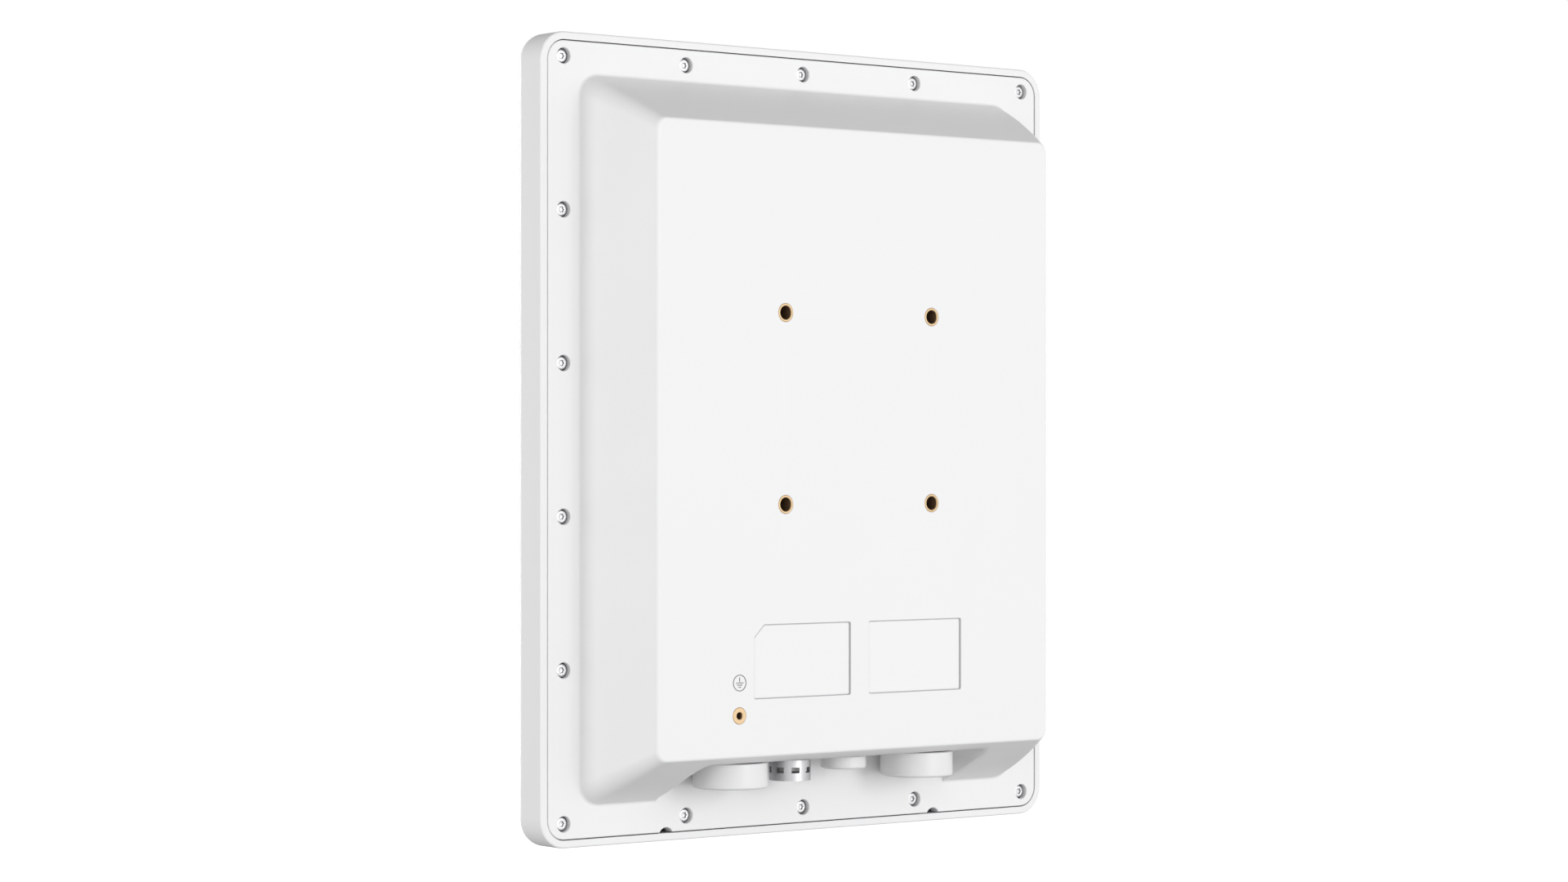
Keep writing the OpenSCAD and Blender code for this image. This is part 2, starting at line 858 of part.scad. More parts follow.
// Cup over the vent's flange, with windows round its wall
module vent_cap() {
    high_z = ceiling_z - seal_t;
    low_z = high_z - vent_cap_h;
    window_z = low_z + vent_window_up;
    color("silver") at_panel() difference() {
        rod_z(vent_x, vent_cap_d, low_z, high_z);
        rod_z(vent_x, vent_cap_d - 2 * vent_wall, low_z + 1.8, high_z - vent_flange_t);
        rod_z(vent_x, vent_flange_d + 2 * gap, high_z - vent_flange_t - over, high_z + over);
        for (i = [0:vent_windows - 1])
            translate([vent_x, port_y, window_z]) rotate([0, 0, (i + 0.5) * 360 / vent_windows])
                translate([vent_stub_d / 2 + 1, -vent_window_w / 2, 0]) cube([vent_cap_d, vent_window_w, vent_window_h]);
    }
}

front_radome();
rear_housing();
perimeter_gasket();
cover_screws();
mount_inserts();
ground_insert();
left_label();
right_label();
reflector_plate();
reflector_screws();
upper_patch();
lower_patch();
patch_standoffs();
feed_pins();
feed_board();
reader_board();
board_screws();
rf_shield();
processor_shield();
thermal_pad();
power_parts();
coax_jumper();
coax_plugs();
network_jack();
signal_jack();
service_jack();
network_port();
network_seal();
network_locknut();
network_washer();
network_cap();
signal_port();
signal_seal();
signal_locknut();
signal_washer();
signal_cap();
service_port();
service_seal();
service_locknut();
service_washer();
service_cap();
vent_body();
vent_seal();
vent_locknut();
vent_membrane();
vent_cap();
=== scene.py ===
import bpy, bmesh, math, json
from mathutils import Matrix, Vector


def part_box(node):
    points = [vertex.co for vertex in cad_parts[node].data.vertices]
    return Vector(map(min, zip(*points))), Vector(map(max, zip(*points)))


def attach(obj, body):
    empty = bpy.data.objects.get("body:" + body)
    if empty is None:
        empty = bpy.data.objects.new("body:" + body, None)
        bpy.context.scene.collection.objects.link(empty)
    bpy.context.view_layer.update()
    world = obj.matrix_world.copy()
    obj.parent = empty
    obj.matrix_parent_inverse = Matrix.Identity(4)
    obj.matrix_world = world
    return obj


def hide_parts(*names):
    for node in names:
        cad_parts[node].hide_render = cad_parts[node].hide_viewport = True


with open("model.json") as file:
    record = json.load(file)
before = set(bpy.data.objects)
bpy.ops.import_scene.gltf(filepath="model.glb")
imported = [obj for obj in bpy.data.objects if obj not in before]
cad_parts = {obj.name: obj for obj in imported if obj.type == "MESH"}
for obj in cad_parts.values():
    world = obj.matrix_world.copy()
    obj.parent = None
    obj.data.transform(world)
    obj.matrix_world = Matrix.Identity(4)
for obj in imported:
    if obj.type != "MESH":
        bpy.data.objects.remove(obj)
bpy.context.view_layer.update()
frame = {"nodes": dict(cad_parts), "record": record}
scene = bpy.context.scene
SLOT = {s["node"]: s["material_slot"] for s in frame["record"]["subparts"]}

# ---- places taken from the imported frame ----
radome_lo, radome_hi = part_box("front_radome")
house_lo, house_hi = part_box("rear_housing")
screws_lo, screws_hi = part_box("cover_screws")
insert_lo, insert_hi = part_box("mount_inserts")
ground_lo, ground_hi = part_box("ground_insert")
FLANGE_Y = radome_hi.y
FACE_Y = house_hi.y
LOW_Y = house_lo.y
CZ = (radome_lo.z + radome_hi.z) / 2
INSERT_PITCH = 0.1
INSERT_R = (insert_hi.x - insert_lo.x - INSERT_PITCH) / 2
INSERT_BORE = 0.0034
INSERT_DEPTH = insert_hi.y - insert_lo.y
GROUND_R = (ground_hi.x - ground_lo.x) / 2
GROUND_BORE = 0.00165
GROUND_DEPTH = ground_hi.y - ground_lo.y
CEIL_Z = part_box("network_seal")[1].z
COVER_HX = house_hi.x
COVER_HZ = (house_hi.z - house_lo.z) / 2
EDGE_GROW = 0.0003

# ---- camera ----
view_yaw = math.radians(38.38)
aim = Vector((-math.sin(view_yaw), -math.cos(view_yaw), 0.0))
cam_data = bpy.data.cameras.new("camera")
cam_data.sensor_width = 36.0
cam_data.lens = 88.21
cam_data.shift_y = 0.0122
cam_data.clip_end = 50
camera = bpy.data.objects.new("camera", cam_data)
camera.location = (1.2942, 1.5693, -0.0269)
camera.rotation_euler = aim.to_track_quat("-Z", "Y").to_euler()
scene.collection.objects.link(camera)
scene.camera = camera
scene.view_settings.view_transform = "Standard"
scene.view_settings.look = "None"


# ---- node helpers ----
def node(tree, kind, **values):
    """Adds a node; each value goes to the input of that name, or else to the node's own setting."""
    n = tree.nodes.new(kind)
    for key, value in values.items():
        if key in n.inputs:
            n.inputs[key].default_value = value
        else:
            setattr(n, key, value)
    return n


def ramp(tree, source, low, high, at_low, at_high):
    """Output that runs from at_low to at_high while source runs from low to high."""
    n = node(tree, "ShaderNodeMapRange")
    for name, value in (("From Min", low), ("From Max", high), ("To Min", at_low), ("To Max", at_high)):
        n.inputs[name].default_value = value
    tree.links.new(source, n.inputs["Value"])
    return n.outputs["Result"]


def combine(tree, how, first, second):
    """Output of one arithmetic step; second may be a socket or a number."""
    n = node(tree, "ShaderNodeMath", operation=how)
    tree.links.new(first, n.inputs[0])
    if isinstance(second, float):
        n.inputs[1].default_value = second
    else:
        tree.links.new(second, n.inputs[1])
    return n.outputs[0]


# ---- light and floor ----
def studio_dome():
    """Dome that is brightest level with the object and behind its back face; plain white when seen."""
    world = bpy.data.worlds.new("studio")
    world.use_nodes = True
    sky = world.node_tree
    place = node(sky, "ShaderNodeTexCoord")
    split = node(sky, "ShaderNodeSeparateXYZ")
    steep = node(sky, "ShaderNodeMath", operation="ABSOLUTE")
    sky.links.new(place.outputs["Generated"], split.inputs["Vector"])
    sky.links.new(split.outputs["Z"], steep.inputs[0])
    level = ramp(sky, steep.outputs[0], 0.05, 0.85, 1.09, 0.26)
    side = ramp(sky, split.outputs["Y"], -0.6, 1.0, 0.62, 1.5)
    light = sky.nodes["Background"]
    light.inputs["Color"].default_value = (1, 1, 1, 1)
    sky.links.new(combine(sky, "MULTIPLY", level, side), light.inputs["Strength"])
    white = node(sky, "ShaderNodeBackground", Color=(1, 1, 1, 1))
    seen = node(sky, "ShaderNodeLightPath")
    either = node(sky, "ShaderNodeMixShader")
    sky.links.new(seen.outputs["Is Camera Ray"], either.inputs["Fac"])
    sky.links.new(light.outputs["Background"], either.inputs[1])
    sky.links.new(white.outputs["Background"], either.inputs[2])
    sky.links.new(either.outputs["Shader"], sky.nodes["World Output"].inputs["Surface"])
    scene.world = world


def area_light(name, place, size, power):
    """Square softbox that faces the middle of the panel."""
    data = bpy.data.lights.new(name, "AREA")
    data.shape = "RECTANGLE"
    data.size = data.size_y = size
    data.energy = power
    ob = bpy.data.objects.new(name, data)
    ob.location = place
    ob.rotation_euler = (Vector((0, 0, -0.02)) - Vector(place)).to_track_quat("-Z", "Y").to_euler()
    scene.collection.objects.link(ob)


def studio_floor():
    """A wide white disc under the object; it is clear when seen from below."""
    bm = bmesh.new()
    bmesh.ops.create_circle(bm, cap_ends=True, radius=6.0, segments=96)
    bmesh.ops.translate(bm, verts=bm.verts, vec=(0, 0, radome_lo.z - 0.16))
    me = bpy.data.meshes.new("studio_floor")
    bm.to_mesh(me)
    bm.free()
    ob = bpy.data.objects.new("studio_floor", me)
    scene.collection.objects.link(ob)
    mat = bpy.data.materials.new("pale_floor")
    mat.use_nodes = True
    tree = mat.node_tree
    shader = tree.nodes["Principled BSDF"]
    shader.inputs["Base Color"].default_value = (0.86, 0.86, 0.86, 1)
    shader.inputs["Roughness"].default_value = 0.9
    shader.inputs["Emission Color"].default_value = (1, 1, 1, 1)
    shader.inputs["Emission Strength"].default_value = 0.62
    side = node(tree, "ShaderNodeNewGeometry")
    clear = node(tree, "ShaderNodeBsdfTransparent")
    either = node(tree, "ShaderNodeMixShader")
    tree.links.new(side.outputs["Backfacing"], either.inputs["Fac"])
    tree.links.new(shader.outputs["BSDF"], either.inputs[1])
    tree.links.new(clear.outputs["BSDF"], either.inputs[2])
    tree.links.new(either.outputs["Shader"], tree.nodes["Material Output"].inputs["Surface"])
    me.materials.append(mat)
    ob.visible_diffuse = False
    ob.visible_glossy = False


studio_dome()
area_light("key", (-0.5, 2.5, 0.2), 1.0, 18)
area_light("side", (2.5, -0.5, 0.05), 1.0, 17)
area_light("front", (0.3, -2.6, 0.1), 1.4, 20)
studio_floor()


# ---- materials ----
def finish(name, base, rough, metal=0.0, grain=900.0, bump=0.02, rough_span=0.08, tint=0.03,
           wear=(0.10, 1.06), coat=0.0, brushed=None, sheen=0.0):
    """Procedural finish: fine grain in the bump, a slow change of colour and roughness, and worn edges.

    bump is the grain's height in millimetres; wear is how much of the worn colour shows on edges, and
    how much lighter it is.
    """
    mat = bpy.data.materials.new(name)
    mat.use_nodes = True
    tree = mat.node_tree
    link = tree.links.new
    shader = tree.nodes["Principled BSDF"]
    shader.inputs["Metallic"].default_value = metal
    shader.inputs["Specular IOR Level"].default_value = 0.5
    shader.inputs["Coat Weight"].default_value = coat
    shader.inputs["Sheen Weight"].default_value = sheen
    place = node(tree, "ShaderNodeTexCoord")
    mapping = node(tree, "ShaderNodeMapping")
    if brushed:
        mapping.inputs["Scale"].default_value = brushed
    link(place.outputs["Object"], mapping.inputs["Vector"])
    fine = node(tree, "ShaderNodeTexNoise", Scale=grain, Detail=3.0, Roughness=0.6)
    link(mapping.outputs["Vector"], fine.inputs["Vector"])
    slow = node(tree, "ShaderNodeTexNoise", Scale=14.0, Detail=4.0, Roughness=0.55)
    link(place.outputs["Object"], slow.inputs["Vector"])
    smooth, dull = max(0.02, rough - rough_span), min(1.0, rough + rough_span)
    link(ramp(tree, slow.outputs["Fac"], 0.3, 0.7, smooth, dull), shader.inputs["Roughness"])
    mixed = combine(tree, "ADD", slow.outputs["Fac"], fine.outputs["Fac"])
    shade = ramp(tree, combine(tree, "MULTIPLY", mixed, 0.5), 0.25, 0.75, 1.0 - tint, 1.0 + tint * 0.3)
    edge = node(tree, "ShaderNodeNewGeometry")
    colour = node(tree, "ShaderNodeMix", data_type="RGBA")
    colour.inputs["A"].default_value = (*base, 1)
    colour.inputs["B"].default_value = (*(min(1.0, c * wear[1]) for c in base), 1)
    link(ramp(tree, edge.outputs["Pointiness"], 0.52, 0.62, 0.0, wear[0]), colour.inputs["Factor"])
    tone = node(tree, "ShaderNodeMix", data_type="RGBA", blend_type="MULTIPLY")
    tone.inputs["Factor"].default_value = 1.0
    link(colour.outputs["Result"], tone.inputs["A"])
    link(shade, tone.inputs["B"])
    link(tone.outputs["Result"], shader.inputs["Base Color"])
    bumps = node(tree, "ShaderNodeBump")
    bumps.inputs["Strength"].default_value = 1.0
    bumps.inputs["Distance"].default_value = bump / 1000
    link(fine.outputs["Fac"], bumps.inputs["Height"])
    link(bumps.outputs["Normal"], shader.inputs["Normal"])
    return mat


M = {
    "housing": finish("housing_plastic", (0.76, 0.76, 0.764), 0.46, grain=1500, bump=0.035,
                      rough_span=0.05, tint=0.02),
    "radome": finish("radome_plastic", (0.75, 0.75, 0.755), 0.42, grain=1500, bump=0.03,
                     rough_span=0.05, tint=0.02),
    "gasket": finish("gasket_rubber", (0.03, 0.03, 0.032), 0.7, grain=700, bump=0.03),
    "screw_steel": finish("screw_steel", (0.64, 0.64, 0.65), 0.4, metal=1.0, grain=600, bump=0.01,
                          wear=(0.6, 1.2)),
    "insert_brass": finish("insert_brass", (0.58, 0.43, 0.26), 0.5, metal=1.0, grain=500, bump=0.012,
                           wear=(0.7, 1.2)),
    "label": finish("label_film", (0.76, 0.76, 0.765), 0.38, grain=700, bump=0.008,
                    rough_span=0.03, tint=0.015),
    "reflector": finish("reflector_sheet", (0.80, 0.81, 0.82), 0.38, metal=1.0, grain=260, bump=0.01,
                        brushed=(1.0, 1.0, 14.0)),
    "patch_copper": finish("patch_copper", (0.80, 0.47, 0.30), 0.36, metal=1.0, grain=300, bump=0.01,
                           wear=(0.6, 1.2)),
    "standoff": finish("standoff_nylon", (0.82, 0.79, 0.70), 0.5, grain=500, bump=0.02),
    "gold_contact": finish("gold_contact", (0.90, 0.68, 0.30), 0.25, metal=1.0, grain=500, bump=0.006),
    "board_green": finish("board_mask", (0.03, 0.20, 0.09), 0.35, grain=420, bump=0.02, tint=0.2, coat=0.3),
    "shield_steel": finish("shield_tin", (0.76, 0.77, 0.78), 0.3, metal=1.0, grain=240, bump=0.01),
    "thermal": finish("thermal_silicone", (0.36, 0.46, 0.58), 0.8, grain=500, bump=0.04),
    "component": finish("component_black", (0.02, 0.02, 0.022), 0.3, grain=500, bump=0.01),
    "coax_jacket": finish("coax_jacket", (0.28, 0.13, 0.05), 0.35, grain=400, bump=0.01),
    "jack_steel": finish("jack_tin", (0.72, 0.73, 0.74), 0.28, metal=1.0, grain=240, bump=0.01),
    "port_plastic": finish("port_plastic", (0.70, 0.70, 0.70), 0.42, grain=900, bump=0.02,
                           rough_span=0.05, tint=0.02),
    "seal_rubber": finish("seal_rubber", (0.022, 0.022, 0.024), 0.62, grain=600, bump=0.03),
    "nut_metal": finish("nut_metal", (0.70, 0.70, 0.70), 0.32, metal=1.0, grain=260, bump=0.01),
    "cap_plastic": finish("cap_plastic", (0.70, 0.70, 0.705), 0.36, grain=1100, bump=0.012,
                          rough_span=0.04, tint=0.02),
    "membrane": finish("membrane_cloth", (0.80, 0.80, 0.78), 0.9, grain=900, bump=0.05, sheen=0.3),
    "vent_metal": finish("vent_metal", (0.46, 0.46, 0.47), 0.45, metal=1.0, grain=500, bump=0.008,
                         wear=(0.6, 1.15)),
}
MARK_INK = finish("mark_ink", (0.38, 0.38, 0.39), 0.6, grain=700, bump=0.01)
# Grey finish for the walls and mouth bevel of the label recesses: painted shade that draws the recess outline
# as a dark line.
RECESS_SHADE_PAINT = finish("recess_shade_paint", (0.50, 0.50, 0.51), 0.5, grain=900, bump=0.01)
# Dark brass finish for the faces deep in the insert bores: painted shade for the inside of the holes.
THREAD_SHADE_PAINT = finish("thread_shadow", (0.10, 0.052, 0.022), 0.55, metal=0.6, grain=500, bump=0.01)

for name, ob in frame["nodes"].items():
    ob.data.materials.clear()
    ob.data.materials.append(M[SLOT[name]])
    ob.data.shade_smooth()
    ob.data.set_sharp_from_angle(angle=math.radians(32))


# ---- mesh helpers ----
def new_object(name, bm):
    """Object of that name from a bmesh, which is used up."""
    me = bpy.data.meshes.new(name)
    bm.to_mesh(me)
    bm.free()
    ob = bpy.data.objects.new(name, me)
    scene.collection.objects.link(ob)
    return ob


def evaluated(ob):
    """Bakes the modifiers of an object into its mesh."""
    bpy.context.view_layer.update()
    graph = bpy.context.evaluated_depsgraph_get()
    fresh = bpy.data.meshes.new_from_object(ob.evaluated_get(graph))
    old = ob.data
    ob.modifiers.clear()
    ob.data = fresh
    bpy.data.meshes.remove(old)


def boolean(ob, other):
    """Cuts the other object out of the first one, and removes the other."""
    m = ob.modifiers.new("cut", "BOOLEAN")
    m.operation = "DIFFERENCE"
    m.object = other
    m.solver = "EXACT"
    evaluated(ob)
    bpy.data.objects.remove(other)


def settle(ob, body, slot, angle):
    """Final shading, material (taken from M by slot) and body of a piece."""
    me = ob.data
    me.materials.clear()
    me.materials.append(M[slot])
    me.shade_smooth()
    me.set_sharp_from_angle(angle=math.radians(angle))
    w = ob.modifiers.new("even", "WEIGHTED_NORMAL")
    w.keep_sharp = True
    w.weight = 90
    evaluated(ob)
    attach(ob, body)


def lathe(profile, centre, axis="Z", steps=96, bm=None, wobble=None):
    """Turns (radius, along) points round an axis through centre; a radius of 0 closes an end."""
    bm = bm or bmesh.new()
    rings = []
    for r, h in profile:
        ring = []
        for i in range(steps if r > 0 else 1):
            a = 2 * math.pi * i / steps
            rr = wobble(r, a) if wobble and r > 0 else r
            u, v = rr * math.cos(a), rr * math.sin(a)
            if axis == "Z":
                ring.append(bm.verts.new((centre[0] + u, centre[1] + v, centre[2] + h)))
            else:
                ring.append(bm.verts.new((centre[0] + u, centre[1] + h, centre[2] + v)))
        rings.append(ring)
    for a, b in zip(rings, rings[1:]):
        if len(a) == 1 and len(b) == 1:
            continue
        for i in range(steps):
            j = (i + 1) % steps
            if len(a) == 1:
                bm.faces.new((a[0], b[j], b[i]))
            elif len(b) == 1:
                bm.faces.new((a[i], a[j], b[0]))
            else:
                bm.faces.new((a[i], a[j], b[j], b[i]))
    return bm


def sealed(bm):
    """The bmesh with all its faces turned outwards."""
    bmesh.ops.recalc_face_normals(bm, faces=bm.faces)
    return bm


def arc(cx, cy, r, start, end, count):
    """Points on an arc round (cx, cy), from one angle to another in degrees."""
    return [(cx + r * math.cos(math.radians(start + (end - start) * i / count)),
             cy + r * math.sin(math.radians(start + (end - start) * i / count))) for i in range(count + 1)]


def joined(bm, rings):
    """Closed solid from rings of equal length, with flat ends."""
    n = len(rings[0])
    for a, b in zip(rings, rings[1:]):
        for i in range(n):
            j = (i + 1) % n
            bm.faces.new((a[i], a[j], b[j], b[i]))
    bm.faces.new(list(reversed(rings[0])))
    bm.faces.new(rings[-1])


def prism(points, y0, y1, bm=None):
    """Solid over an outline of (x, z) points, from y0 to y1."""
    bm = bm or bmesh.new()
    joined(bm, [[bm.verts.new((x, y, z)) for x, z in points] for y in (y0, y1)])
    return bm


def repaint(ob, mat, chosen):
    """Gives the faces of a piece that chosen(face) picks another finish."""
    ob.data.materials.append(mat)
    index = len(ob.data.materials) - 1
    for f in ob.data.polygons:
        if chosen(f):
            f.material_index = index


def near(f, x, z, r):
    """Whether a face lies within r of the axis along Y through (x, z)."""
    return (f.center.x - x) ** 2 + (f.center.z - z) ** 2 < r ** 2


# ---- rear housing ----
BASE_HX, BASE_HZ, BASE_R = 0.148, 0.1885, 0.012
TOP_HX, TOP_HZ, TOP_R = 0.133, 0.164, 0.006
SIDE_BOW = 0.0012
COVER_R = 0.0102
LEAST_R = 0.0008
WALL = 0.003
BAY_HALF = 0.099
BAY_DEPTH = 0.1935
BAY_R = 0.007
BAY_LIP = 0.0022
HEAD_R = 0.0035
HEAD_H = 0.0024
POCKET_R = 0.0041
DRAIN_X = 0.092
DRAIN_R = 0.0046
MARK_X = (ground_lo.x + ground_hi.x) / 2
MARK_Z = CZ - 0.1255
CEILING_HOLES = {"network_port": 0.0132, "signal_port": 0.0132, "service_port": 0.0072, "vent_body": 0.0062}
LABEL_CHAMFERS = {"left_label": 0.0065, "right_label": 0}


def bent(path, radii, count):
    """The path with its inner points rounded: each bend becomes an arc of count pieces."""
    out = [path[0]]
    for i in range(1, len(path) - 1):
        a, b, c = (Vector(p) for p in path[i - 1:i + 2])
        d0, d1 = (b - a).normalized(), (c - b).normalized()
        turn = math.acos(max(-1, min(1, d0.dot(d1))))
        reach = radii[i - 1] * math.tan(turn / 2)
        inward = (d1 - d0 * math.cos(turn)).normalized()
        start = b - d0 * reach
        for k in range(count + 1):
            f = turn * k / count
            p = start + radii[i - 1] * (math.sin(f) * d0 + (1 - math.cos(f)) * inward)
            out.append((p.x, p.y))
    out.append(path[-1])
    return out


def divided(path, at, count):
    """The path with its stretch after point at cut into count even pieces."""
    (a0, a1), (b0, b1) = path[at], path[at + 1]
    between = [(a0 + (b0 - a0) * i / count, a1 + (b1 - a1) * i / count) for i in range(1, count)]
    return path[:at + 1] + between + path[at + 1:]


def corner_radius(hx):
    """Corner radius of the raised back where its half width is hx."""
    if hx >= BASE_HX:
        return BASE_R + (hx - BASE_HX)
    if hx >= TOP_HX:
        return TOP_R + (BASE_R - TOP_R) * (hx - TOP_HX) / (BASE_HX - TOP_HX)
    return max(LEAST_R, TOP_R - (TOP_HX - hx))


def swell(y):
    """How far the raised sides bow outwards at the height y."""
    t = min(1.0, max(0.0, (y - FLANGE_Y) / (FACE_Y - FLANGE_Y)))
    return 4 * SIDE_BOW * t * (1 - t)


def flange_rings(y_bottom):
    """Rings of the flange's side and its rounded edge: half sizes, corner radius and heights."""
    edge = 0.0007
    wide, tall = COVER_HX + EDGE_GROW, COVER_HZ + EDGE_GROW
    rings = [(wide, tall, COVER_R, y_bottom, y_bottom)]
    for k in range(5):
        a = math.radians(90 * k / 4)
        inset = edge * (1 - math.cos(a))
        y = FLANGE_Y - edge + edge * math.sin(a)
        rings.append((wide - inset, tall - inset, COVER_R - inset, y, y))
    return rings


def shell_form(grow, y_bottom, bend=(0.0022, 0.0017), flange=True, drop=0.0):
    """Closed solid of the raised back; its sides are moved outwards by grow and its face by drop.

    Also gives its outline from the foot to the face, as (half height, y) points.
    """
    bend_count = 8
    side_count = 10
    corner_count = 10
    outer, inner = 0.006, 0.008
    outlines = []
    for base, top in ((BASE_HX, TOP_HX), (BASE_HZ, TOP_HZ)):
        path = [(base + grow + outer, FLANGE_Y), (base + grow, FLANGE_Y),
                (top + grow, FACE_Y + drop), (top + grow - inner, FACE_Y + drop)]
        outlines.append(divided(bent(path, bend, bend_count), bend_count + 1, side_count))
    bx, bz = outlines
    if flange:
        rings = flange_rings(y_bottom)
    else:
        rings = [(bx[0][0] - outer, bz[0][0] - outer, BASE_R + grow, y_bottom, y_bottom)]
        bx, bz = bx[bend_count + 1:], bz[bend_count + 1:]
    for (hx, yx), (hz, yz) in zip(bx, bz):
        r = max(LEAST_R, corner_radius(hx - grow) + grow)
        rings.append((hx + swell(yx), hz + swell(yz), r, yx, yz))
    bm = bmesh.new()
    made = []
    for hx, hz, r, yx, yz in rings:
        ring = []
        for k, (sx, sz) in enumerate(((1, 1), (-1, 1), (-1, -1), (1, -1))):
            for i in range(corner_count + 1):
                a = math.radians(90 * k + 90 * i / corner_count)
                x = sx * (hx - r) + r * math.cos(a)
                y = yx * math.cos(a) ** 2 + yz * math.sin(a) ** 2
                ring.append(bm.verts.new((x, y, CZ + sz * (hz - r) + r * math.sin(a))))
        made.append(ring)
    joined(bm, made)
    return sealed(bm), [(hz + swell(yz), yz) for hz, yz in bz]


def surface(profile, z):
    """Height y of the housing's lower slope at z."""
    drop = CZ - z
    if drop < profile[-1][0]:
        return FACE_Y
    best = FLANGE_Y
    for (h0, y0), (h1, y1) in zip(profile, profile[1:]):
        if min(h0, h1) <= drop <= max(h0, h1) and abs(h1 - h0) > 1e-9:
            best = max(best, y0 + (y1 - y0) * (drop - h0) / (h1 - h0))
    return best


def bay_outline():
    """Outline of the bay as (x, z) points, from the foot of one side round its ceiling to the other."""
    step = 0.0013
    count = 40
    flat = BAY_HALF - BAY_R
    heights = []
    z = CZ - BAY_DEPTH
    while z < CEIL_Z - BAY_R - 1e-6:
        heights.append(z)
        z += step
    outline = [(BAY_HALF, z) for z in heights]
    outline += arc(flat, CEIL_Z - BAY_R, BAY_R, 0, 90, 10)
    outline += [(flat * (1 - 2 * i / count), CEIL_Z) for i in range(1, count)]
    outline += arc(-flat, CEIL_Z - BAY_R, BAY_R, 90, 180, 10)
    return outline + [(-BAY_HALF, z) for z in reversed(heights)]


def bay_cutter(profile):
    """The bay, with lips that round its edge into the slope."""
    outline = bay_outline()
    n = len(outline)
    normals = [Vector((1, 0))]
    for i in range(1, n - 1):
        (ax, az), (bx, bz) = outline[i - 1], outline[i + 1]
        along = Vector((bx - ax, bz - az)).normalized()
        normals.append(Vector((along.y, -along.x)))
    normals.append(Vector((-1, 0)))
    bm = bmesh.new()
    rings = [[bm.verts.new((x, FLANGE_Y, z)) for x, z in outline]]
    arcs = 7
    for k in range(arcs + 2):
        ring = []
        for (x, z), outward in zip(outline, normals):
            rise = max(0.0, surface(profile, z) - FLANGE_Y)
            lip = min(BAY_LIP, rise * 0.45)
            if k <= arcs:
                f = math.radians(90 * k / arcs)
                out, down = lip * (1 - math.cos(f)), lip * (1 - math.sin(f))
            else:
                out, down = lip + 0.00008, -0.00006
            px, pz = x + outward.x * out, z + outward.y * out
            y = max(surface(profile, pz) - down, FLANGE_Y + 0.00002 * (k + 1))
            ring.append(bm.verts.new((px, y, pz)))
        rings.append(ring)
    rings.append([bm.verts.new((v.co.x, FACE_Y + 0.004, v.co.z)) for v in rings[-1]])
    joined(bm, rings)
    return sealed(bm)


def screw_places():
    """The (x, z) of the cover screws: five across and six down, round the edge only."""
    hx, hz = screws_hi.x - HEAD_R, (screws_hi.z - screws_lo.z) / 2 - HEAD_R
    mid = (screws_hi.z + screws_lo.z) / 2
    return [(-hx + i * hx / 2, mid - hz + j * 2 * hz / 5) for i in range(5) for j in range(6)
            if i in (0, 4) or j in (0, 5)]


def insert_places():
    """The (x, z) of the four mounting inserts."""
    mid = (insert_hi.z + insert_lo.z) / 2
    return [(sx * INSERT_PITCH / 2, mid + sz * INSERT_PITCH / 2) for sx in (-1, 1) for sz in (-1, 1)]


def seat_profile(r, depth):
    """Hole for a sleeve of radius r, with a slightly rounded mouth."""
    mouth = r + 0.0003
    return [(0, -depth), (r, -depth), (r, -0.0002), (mouth, 0.0001), (mouth, 0.002), (0, 0.002)]


def flange_cuts():
    """Pockets of the cover screws, and the two drain notches in the lower edge."""
    bm = bmesh.new()
    seat = screws_hi.y - HEAD_H - FLANGE_Y
    mouth = POCKET_R + 0.0005
    pocket = [(0, seat), (POCKET_R, seat), (POCKET_R, -0.00035), (mouth, 0.00015), (mouth, 0.002), (0, 0.002)]
    for x, z in screw_places():
        lathe(pocket, (x, FLANGE_Y, z), "Y", 40, bm)
    mouth = DRAIN_R + 0.0005
    drain = [(0, -0.02), (DRAIN_R, -0.02), (DRAIN_R, -0.0003), (mouth, 0.0002), (mouth, 0.002), (0, 0.002)]
    for side in (-1, 1):
        lathe(drain, (side * DRAIN_X, FLANGE_Y, CZ - COVER_HZ - 0.0023), "Y", 40, bm)
    return sealed(bm)


def face_cuts():
    """Seats of the inserts, label recesses and earth mark, all in the flat back face."""
    bm = bmesh.new()
    for x, z in insert_places():
        lathe(seat_profile(INSERT_R, INSERT_DEPTH), (x, FACE_Y, z), "Y", 48, bm)
    ground_z = (ground_lo.z + ground_hi.z) / 2
    lathe(seat_profile(GROUND_R, GROUND_DEPTH), (MARK_X, FACE_Y, ground_z), "Y", 48, bm)
    for name, chamfer in LABEL_CHAMFERS.items():
        label_recess(bm, *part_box(name), chamfer)
    earth_mark(bm, MARK_X, MARK_Z)
    return sealed(bm)


def ceiling_cuts():
    """Holes in the bay's ceiling for the ports and the vent."""
    bm = bmesh.new()
    for name, r in CEILING_HOLES.items():
        lo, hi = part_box(name)
        c = (lo + hi) / 2
        lathe([(0, -0.003), (r, -0.003), (r, 0.006), (0, 0.006)], (c.x, c.y, CEIL_Z), "Z", 48, bm)
    return sealed(bm)


def in_recess(f, lo, hi):
    """Whether a face belongs to the walls or the bevel of a label recess."""
    c = f.center
    near_x = lo.x - 0.001 < c.x < hi.x + 0.001
    near_z = lo.z - 0.001 < c.z < hi.z + 0.001
    return near_x and near_z and lo.y + 0.0001 < c.y < FACE_Y - 0.00002


def in_mark(f):
    """Whether a face is the floor of the earth mark."""
    return near(f, MARK_X, MARK_Z, 0.0048) and -0.0006 < f.center.y - FACE_Y < -0.0001


